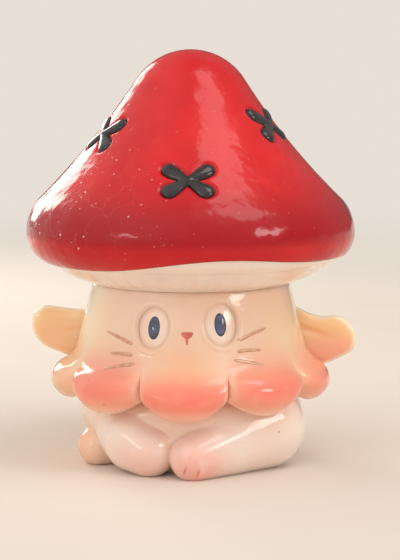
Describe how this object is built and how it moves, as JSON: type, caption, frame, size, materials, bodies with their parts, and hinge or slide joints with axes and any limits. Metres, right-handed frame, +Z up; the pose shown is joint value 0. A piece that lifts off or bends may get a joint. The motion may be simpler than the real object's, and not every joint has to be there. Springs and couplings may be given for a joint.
{
  "type": "ceramic mushroom ornament",
  "caption": "Glazed ceramic ornament: a seated kitten with a petal frill, under a lift-off mushroom cap marked with cross-stitches.",
  "frame": {"origin": "on the table under the cap's axis, at the centre of the footprint of the bounding box", "axes": "+Z up along the cap's axis, -Y towards the viewer of the face, +X to that viewer's right"},
  "size_m": [0.072, 0.072, 0.09],
  "materials": {
    "red_glaze": "gloss",
    "white_glaze": "gloss",
    "peach_glaze": "gloss",
    "orange_glaze": "gloss",
    "eye_glaze": "gloss",
    "pupil_glaze": "gloss",
    "nose_paint": "gloss",
    "whisker_paint": "gloss",
    "blush_glaze": "gloss",
    "coral_glaze": "gloss",
    "black_glaze": "gloss"
  },
  "bodies": {
    "figure": {"head_shell": "peach_glaze", "body_shell": "white_glaze", "left_ear": "orange_glaze", "right_ear": "orange_glaze", "left_eye": "eye_glaze", "right_eye": "eye_glaze", "left_pupil": "pupil_glaze", "right_pupil": "pupil_glaze", "nose": "nose_paint", "left_whiskers": "whisker_paint", "right_whiskers": "whisker_paint", "frill_petal_1": "coral_glaze", "frill_petal_2": "coral_glaze", "frill_petal_3": "coral_glaze", "frill_petal_4": "coral_glaze", "frill_petal_5": "coral_glaze", "frill_petal_6": "coral_glaze", "frill_petal_7": "coral_glaze", "frill_petal_8": "coral_glaze", "frill_petal_9": "coral_glaze", "left_foreleg": "blush_glaze", "right_foreleg": "blush_glaze", "left_hind_foot": "blush_glaze", "right_hind_foot": "blush_glaze"},
    "cap": {"cap_shell": "red_glaze", "gill_disc": "white_glaze", "cross_stitch_1": "black_glaze", "cross_stitch_2": "black_glaze", "cross_stitch_3": "black_glaze", "cross_stitch_4": "black_glaze", "cross_stitch_5": "black_glaze", "cross_stitch_6": "black_glaze"}
  },
  "joints": [
    {"name": "cap_lift", "type": "slide", "parent": "figure", "child": "cap", "axis": [0, 0, 1], "range_m": [0, 0.03]}
  ]
}
